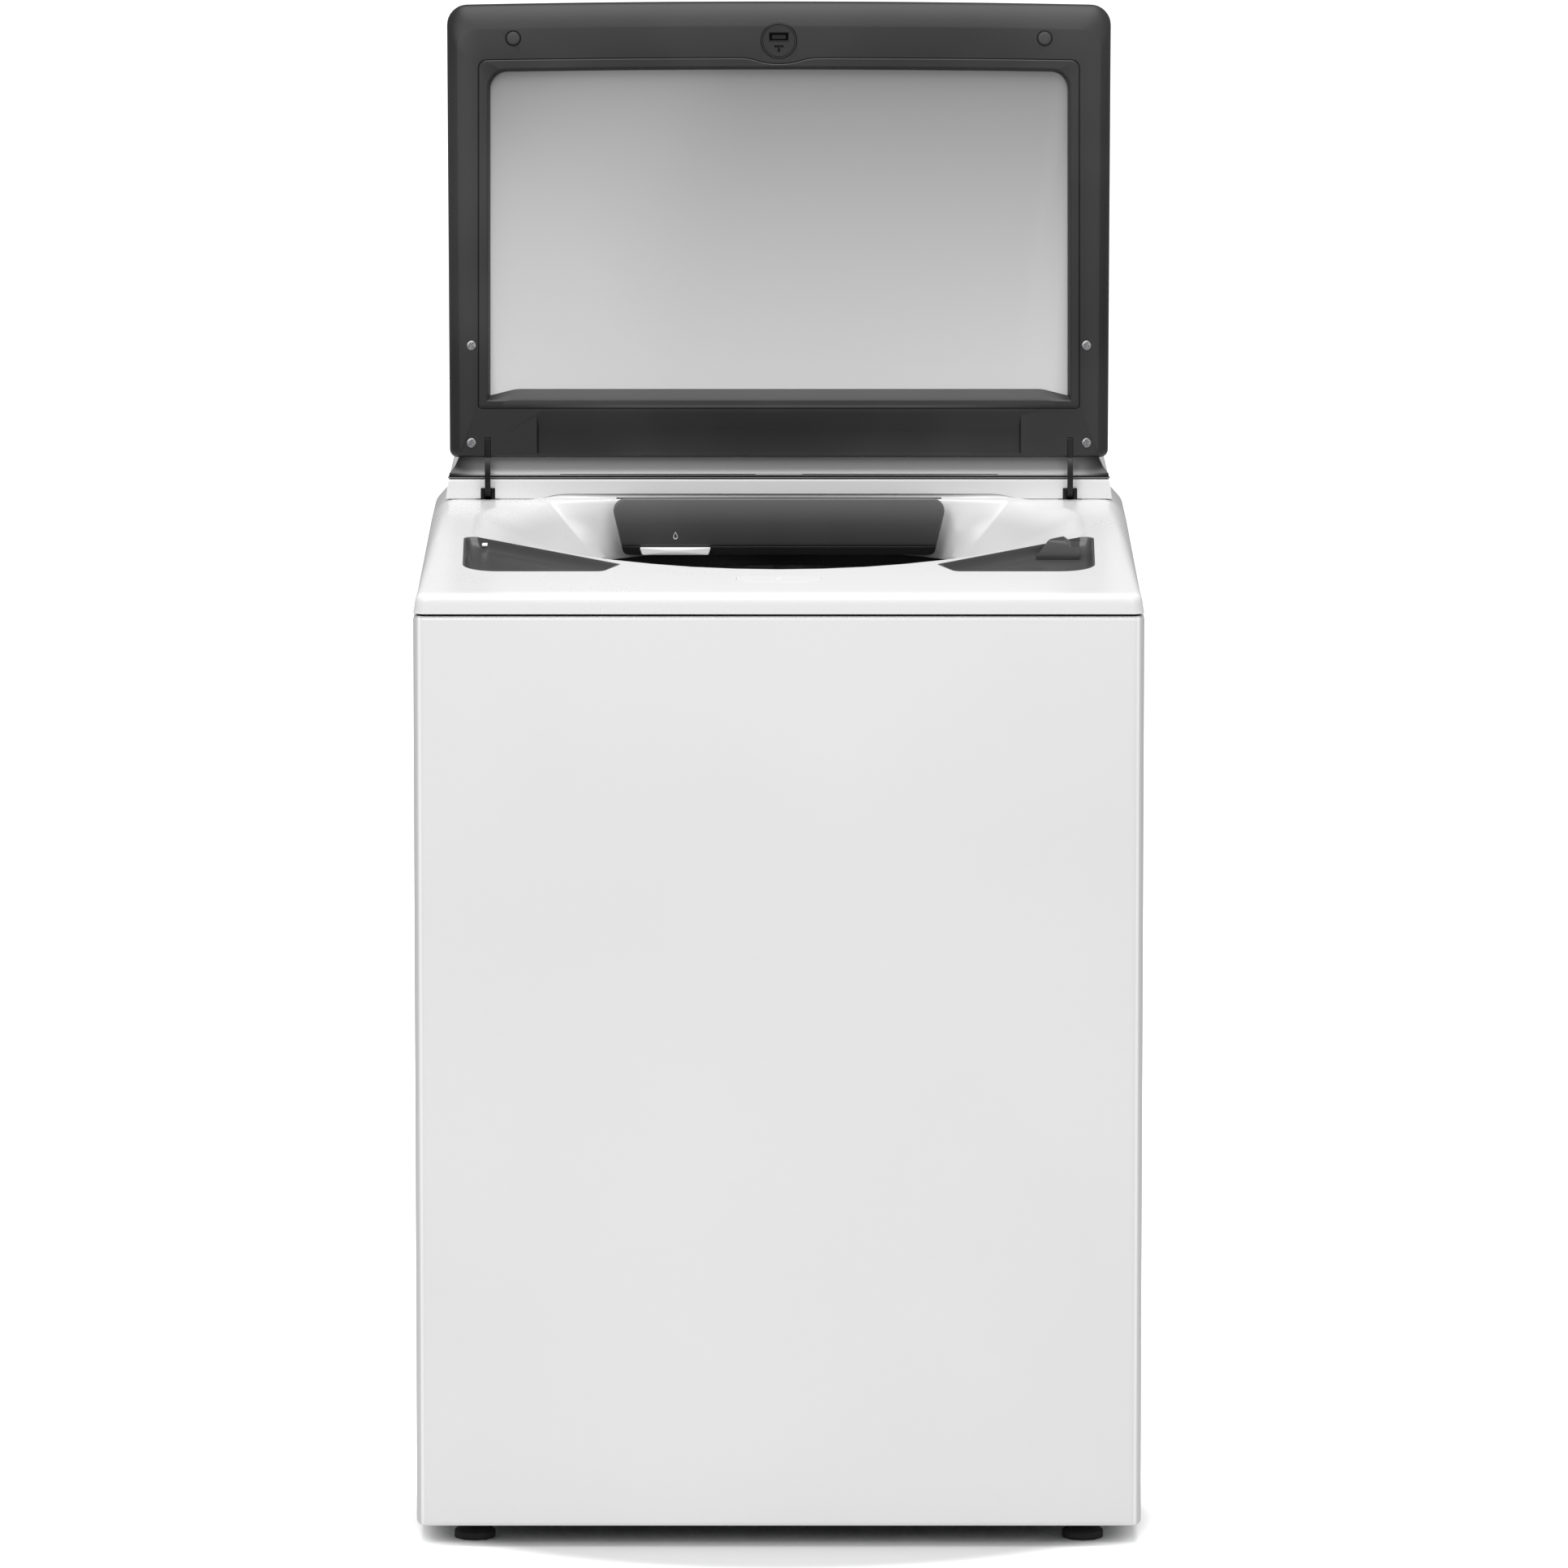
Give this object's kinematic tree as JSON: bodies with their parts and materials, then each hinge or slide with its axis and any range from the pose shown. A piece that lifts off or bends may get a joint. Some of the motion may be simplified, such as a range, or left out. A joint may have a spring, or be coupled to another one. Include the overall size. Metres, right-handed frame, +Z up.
{
  "type": "top load washing machine",
  "caption": "Top load washing machine with a glass lid standing open, a slide-out detergent dispenser, corner trays in the deck and a hung tub with a driven basket and impeller.",
  "frame": {"origin": "on the floor, under the middle of the machine", "axes": "+Z up, +Y towards the rear where the hoses join, +X towards the machine's right as seen from the front"},
  "size_m": [0.709, 0.686, 1.4715],
  "materials": {
    "white_enamel": "smooth white baked enamel",
    "white_plastic": "smooth white moulded plastic",
    "dark_plastic": "dark grey satin plastic",
    "grey_plastic": "mid grey moulded plastic",
    "black_plastic": "black plastic",
    "fascia_grey": "grey satin panel",
    "circuit_board": "green board",
    "galvanized": "zinc coated sheet",
    "steel": "brushed stainless steel",
    "chrome": "bright metal",
    "casting": "cast aluminium",
    "motor_iron": "painted motor casing",
    "tub_plastic": "pale ribbed polypropylene",
    "rubber": "black rubber",
    "tinted_glass": "clear toughened glass"
  },
  "bodies": {
    "cabinet": {"cabinet_wrap": "white_enamel", "rear_panel": "galvanized", "base_frame": "galvanized", "top_deck": "white_plastic", "softener_tray": "grey_plastic", "brush_tray": "grey_plastic", "dispenser_housing": "dark_plastic", "faucet_spout": "white_plastic", "console_housing": "white_plastic", "control_fascia": "fascia_grey", "control_board": "circuit_board", "hinge_bracket_left": "galvanized", "hinge_bracket_right": "galvanized", "arm_guide_left": "black_plastic", "arm_guide_right": "black_plastic", "lid_lock_body": "white_plastic", "inlet_valve": "white_plastic", "drain_hose_port": "grey_plastic", "cord_gland": "black_plastic", "suspension_rod_left_front": "steel", "suspension_spring_left_front": "steel", "suspension_rod_left_rear": "steel", "suspension_spring_left_rear": "steel", "suspension_rod_right_front": "steel", "suspension_spring_right_front": "steel", "suspension_rod_right_rear": "steel", "suspension_spring_right_rear": "steel"},
    "lid": {"lid_outer_frame": "dark_plastic", "lid_inner_frame": "dark_plastic", "lid_glass": "tinted_glass", "lid_strike": "black_plastic", "lid_bumper_left": "rubber", "lid_bumper_right": "rubber", "hinge_arm_left": "black_plastic", "hinge_arm_right": "black_plastic"},
    "dispenser_drawer": {"dispenser_drawer": "dark_plastic"},
    "stain_brush": {"stain_brush": "grey_plastic"},
    "cycle_knob": {"cycle_knob": "chrome"},
    "power_button": {"power_button": "dark_plastic"},
    "start_button": {"start_button": "dark_plastic"},
    "lid_lock_bolt": {"lid_lock_bolt": "white_plastic"},
    "tub": {"outer_tub": "tub_plastic", "tub_ring": "black_plastic", "gearcase": "casting", "motor": "motor_iron", "drain_pump": "black_plastic", "drive_belt": "rubber"},
    "basket": {"basket": "steel", "balance_ring": "grey_plastic", "basket_spider": "casting"},
    "impeller": {"impeller": "grey_plastic", "drive_pulley": "casting"},
    "motor_pulley": {"motor_pulley": "steel"},
    "leveling_foot_left_front": {"leveling_foot_left_front": "rubber"},
    "leveling_foot_left_rear": {"leveling_foot_left_rear": "rubber"},
    "leveling_foot_right_front": {"leveling_foot_right_front": "rubber"},
    "leveling_foot_right_rear": {"leveling_foot_right_rear": "rubber"}
  },
  "joints": [
    {"name": "lid_hinge", "type": "hinge", "parent": "cabinet", "child": "lid", "pos_m": [0, 0.1602, 0.99945], "axis": [-1, 0, 0], "range_deg": [-102, 0]},
    {"name": "dispenser_slide", "type": "slide", "parent": "cabinet", "child": "dispenser_drawer", "axis": [0, -1, 0], "range_m": [0, 0.12]},
    {"name": "stain_brush_lift", "type": "slide", "parent": "cabinet", "child": "stain_brush", "axis": [0, 0, 1], "range_m": [0, 0.06]},
    {"name": "cycle_knob_turn", "type": "hinge", "parent": "cabinet", "child": "cycle_knob", "pos_m": [0, 0.19622, 1.05896], "axis": [0, -0.766, 0.6428], "continuous": true},
    {"name": "power_button_press", "type": "slide", "parent": "cabinet", "child": "power_button", "axis": [0, 0.766, -0.6428], "range_m": [0, 0.0012], "stiffness_N_per_m": 400, "springref_m": -0.0005},
    {"name": "start_button_press", "type": "slide", "parent": "cabinet", "child": "start_button", "axis": [0, 0.766, -0.6428], "range_m": [0, 0.0012], "stiffness_N_per_m": 400, "springref_m": -0.0005},
    {"name": "lid_lock_bolt_slide", "type": "slide", "parent": "cabinet", "child": "lid_lock_bolt", "axis": [0, -0.0724, 0.9974], "range_m": [0, 0.006], "stiffness_N_per_m": 120, "springref_m": -0.001},
    {"name": "tub_suspension", "type": "slide", "parent": "cabinet", "child": "tub", "axis": [0, 0, 1], "range_m": [-0.02, 0.015], "stiffness_N_per_m": 18000, "springref_m": 0.02434, "deforming": ["suspension_spring_left_front", "suspension_spring_left_rear", "suspension_spring_right_front", "suspension_spring_right_rear"]},
    {"name": "basket_spin", "type": "hinge", "parent": "tub", "child": "basket", "pos_m": [0, -0.014, 0.5], "axis": [0, 0, 1], "continuous": true},
    {"name": "impeller_spin", "type": "hinge", "parent": "tub", "child": "impeller", "pos_m": [0, -0.014, 0.3], "axis": [0, 0, 1], "continuous": true},
    {"name": "motor_spin", "type": "hinge", "parent": "tub", "child": "motor_pulley", "pos_m": [0.166, -0.014, 0.104], "axis": [0, 0, 1], "continuous": true},
    {"name": "leveling_foot_left_front_turn", "type": "hinge", "parent": "cabinet", "child": "leveling_foot_left_front", "pos_m": [-0.2985, -0.291, 0.03], "axis": [0, 0, 1], "continuous": true},
    {"name": "leveling_foot_left_rear_turn", "type": "hinge", "parent": "cabinet", "child": "leveling_foot_left_rear", "pos_m": [-0.2985, 0.26, 0.03], "axis": [0, 0, 1], "continuous": true},
    {"name": "leveling_foot_right_front_turn", "type": "hinge", "parent": "cabinet", "child": "leveling_foot_right_front", "pos_m": [0.2985, -0.291, 0.03], "axis": [0, 0, 1], "continuous": true},
    {"name": "leveling_foot_right_rear_turn", "type": "hinge", "parent": "cabinet", "child": "leveling_foot_right_rear", "pos_m": [0.2985, 0.26, 0.03], "axis": [0, 0, 1], "continuous": true}
  ],
  "couplings": [
    {"joint": "motor_spin", "follows": "impeller_spin", "ratio": 3.381}
  ]
}
